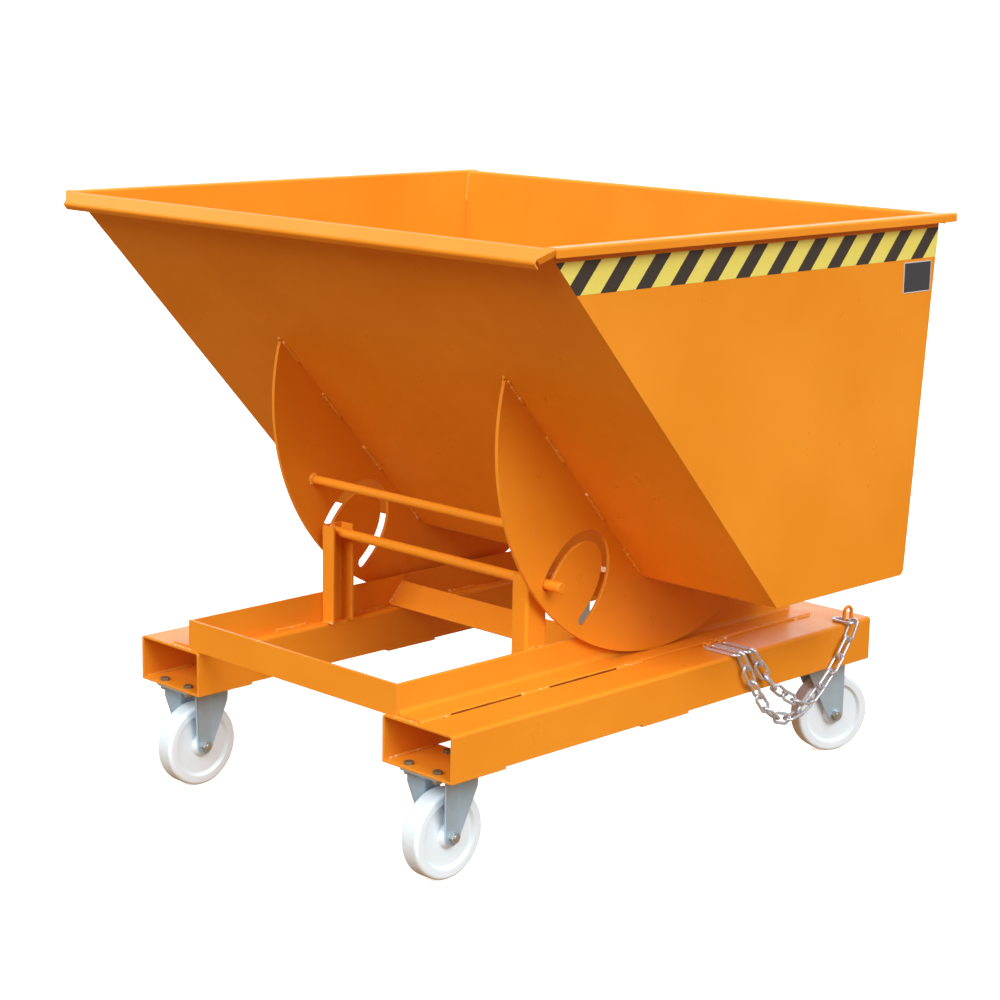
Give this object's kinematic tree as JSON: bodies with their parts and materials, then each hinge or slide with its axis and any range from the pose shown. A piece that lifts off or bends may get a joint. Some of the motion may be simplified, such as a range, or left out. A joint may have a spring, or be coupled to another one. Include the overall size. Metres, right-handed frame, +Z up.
{
  "type": "tipping hopper",
  "caption": "Roll-over tipping skip on castors: open painted steel tub on curved rockers over fork pockets, with a guide axle, rear latch, safety chain and swivel rear wheels.",
  "frame": {"origin": "on the floor, under the middle of the whole object's bounding box", "axes": "+X across the hopper to the side with the chain, +Y to the rear, away from the tipping side, +Z up"},
  "size_m": [1.447, 1.4133, 1.262],
  "materials": {
    "orange_paint": "semi-gloss orange coat on welded sheet steel",
    "zinc_plated_steel": "bright zinc plate",
    "white_nylon": "cast nylon, satin",
    "hazard_tape": "yellow and black diagonal stripes, adhesive film",
    "dark_plate": "dark printed sheet, left bare"
  },
  "bodies": {
    "frame": {"fork_pocket_left": "orange_paint", "fork_pocket_right": "orange_paint", "front_pad_left": "orange_paint", "front_pad_right": "orange_paint", "middle_strap_left": "orange_paint", "middle_strap_right": "orange_paint", "rear_pad_left": "orange_paint", "rear_pad_right": "orange_paint", "guide_rail_left": "orange_paint", "guide_rail_right": "orange_paint", "front_crossbar": "orange_paint", "middle_crossbar": "orange_paint", "rear_crossbar": "orange_paint", "axle_post_left": "orange_paint", "axle_post_right": "orange_paint", "guide_axle": "orange_paint", "front_castor_bracket_left": "zinc_plated_steel", "front_castor_bracket_right": "zinc_plated_steel", "front_axle_bolts": "zinc_plated_steel", "front_axle_nuts": "zinc_plated_steel", "rear_castor_plate_left": "zinc_plated_steel", "rear_castor_plate_right": "zinc_plated_steel", "swivel_kingpins": "zinc_plated_steel", "castor_bolts": "zinc_plated_steel", "castor_nuts": "zinc_plated_steel", "latch_bracket": "orange_paint", "latch_pin": "zinc_plated_steel", "chain_eye": "orange_paint", "chain_keepers": "orange_paint", "chain_end_links": "zinc_plated_steel"},
    "roll_carrier": {"roll_centre_pins": "orange_paint"},
    "hopper": {"front_slope": "orange_paint", "floor_back_sheet": "orange_paint", "side_sheet_left": "orange_paint", "side_sheet_right": "orange_paint", "rocker_left": "orange_paint", "rocker_right": "orange_paint", "rocker_tie_rod": "orange_paint", "latch_catch": "orange_paint", "hazard_tape_left": "hazard_tape", "hazard_tape_right": "hazard_tape", "type_plate": "dark_plate"},
    "front_wheel_left": {"front_wheel_left": "white_nylon"},
    "rear_swivel_left": {"rear_castor_fork_left": "zinc_plated_steel", "rear_axle_bolt_left": "zinc_plated_steel", "rear_axle_nut_left": "zinc_plated_steel"},
    "rear_wheel_left": {"rear_wheel_left": "white_nylon"},
    "front_wheel_right": {"front_wheel_right": "white_nylon"},
    "rear_swivel_right": {"rear_castor_fork_right": "zinc_plated_steel", "rear_axle_bolt_right": "zinc_plated_steel", "rear_axle_nut_right": "zinc_plated_steel"},
    "rear_wheel_right": {"rear_wheel_right": "white_nylon"},
    "latch_lever": {"latch_lever": "orange_paint"},
    "safety_chain": {"safety_chain": "zinc_plated_steel"}
  },
  "joints": [
    {"name": "hopper_roll", "type": "slide", "parent": "frame", "child": "roll_carrier", "axis": [0, -1, 0], "range_m": [0, 0.6912]},
    {"name": "hopper_tip", "type": "hinge", "parent": "roll_carrier", "child": "hopper", "pos_m": [0, 0.06725, 0.8253], "axis": [1, 0, 0], "range_deg": [0, 80]},
    {"name": "front_wheel_spin_left", "type": "hinge", "parent": "frame", "child": "front_wheel_left", "pos_m": [-0.383, -0.60575, 0.09], "axis": [1, 0, 0], "continuous": true},
    {"name": "front_wheel_spin_right", "type": "hinge", "parent": "frame", "child": "front_wheel_right", "pos_m": [0.383, -0.60575, 0.09], "axis": [1, 0, 0], "continuous": true},
    {"name": "rear_swivel_left", "type": "hinge", "parent": "frame", "child": "rear_swivel_left", "pos_m": [-0.383, 0.57825, 0.2], "axis": [0, 0, 1], "continuous": true},
    {"name": "rear_wheel_spin_left", "type": "hinge", "parent": "rear_swivel_left", "child": "rear_wheel_left", "pos_m": [-0.39873, 0.6172, 0.09], "axis": [0.9272, 0.3746, 0], "continuous": true},
    {"name": "rear_swivel_right", "type": "hinge", "parent": "frame", "child": "rear_swivel_right", "pos_m": [0.383, 0.57825, 0.2], "axis": [0, 0, 1], "continuous": true},
    {"name": "rear_wheel_spin_right", "type": "hinge", "parent": "rear_swivel_right", "child": "rear_wheel_right", "pos_m": [0.39873, 0.6172, 0.09], "axis": [0.9272, -0.3746, 0], "continuous": true},
    {"name": "latch_swing", "type": "hinge", "parent": "frame", "child": "latch_lever", "pos_m": [0, 0.53625, 0.38], "axis": [1, 0, 0], "range_deg": [0, 25]},
    {"name": "chain_swing", "type": "hinge", "parent": "frame", "child": "safety_chain", "pos_m": [0.4945, 0.36425, 0.3278], "axis": [0, -1, 0], "range_deg": [0, 23]}
  ],
  "couplings": [
    {"joint": "hopper_roll", "follows": "hopper_tip", "m_per_rad": 0.495}
  ]
}
